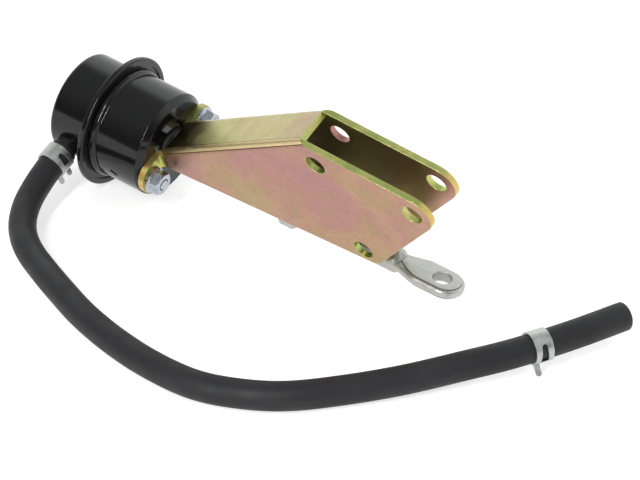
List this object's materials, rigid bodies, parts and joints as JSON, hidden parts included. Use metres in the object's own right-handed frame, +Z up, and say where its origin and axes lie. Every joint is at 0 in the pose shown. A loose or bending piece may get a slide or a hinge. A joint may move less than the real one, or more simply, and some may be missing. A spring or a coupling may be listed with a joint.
{
  "type": "turbo actuator",
  "caption": "Pressure canister with a folded mounting bracket on two studs, a sprung rod with an adjustable flat eye, and a rubber hose held by band clamps.",
  "frame": {"origin": "on the surface the actuator rests on, under the middle of its box, with the hose and its clamps left out", "axes": "+Z up from that surface; +X from the canister towards the rod's eye, seen from above; the canister's own axis dips 8.8 degrees below +X and the bracket leans over 24.6 degrees about it"},
  "size_m": [0.2988, 0.1706, 0.0889],
  "materials": {
    "black_shell": "gloss",
    "black_fitting": "satin",
    "yellow_zinc": "iridescent satin",
    "bright_zinc": "polished",
    "cast_zinc": "matte cast",
    "rod_steel": "turned satin",
    "clamp_steel": "satin",
    "inner_steel": "satin",
    "inner_aluminium": "satin",
    "bush_polymer": "matte",
    "diaphragm_rubber": "matte",
    "hose_rubber": "matte"
  },
  "bodies": {
    "canister": {"rear_cover": "black_shell", "hose_nipple": "black_fitting", "front_housing": "black_shell", "stud_plate": "inner_steel", "mounting_studs": "bright_zinc", "flange_nuts": "bright_zinc", "rod_bush": "bush_polymer", "spring_seat": "inner_steel", "return_spring": "inner_steel", "diaphragm": "diaphragm_rubber", "bracket": "yellow_zinc", "hose": "hose_rubber", "clamp_canister": "clamp_steel", "clamp_free": "clamp_steel"},
    "rod": {"piston": "inner_aluminium", "piston_retainer": "inner_steel", "piston_nut": "inner_steel", "actuator_rod": "rod_steel", "lock_nut": "cast_zinc", "rod_eye": "cast_zinc"}
  },
  "joints": [
    {"name": "rod_stroke", "type": "slide", "parent": "canister", "child": "rod", "axis": [0.9882, 0, -0.153], "range_m": [0, 0.012], "stiffness_N_per_m": 5000, "springref_m": -0.012, "deforming": ["return_spring", "diaphragm"]}
  ]
}
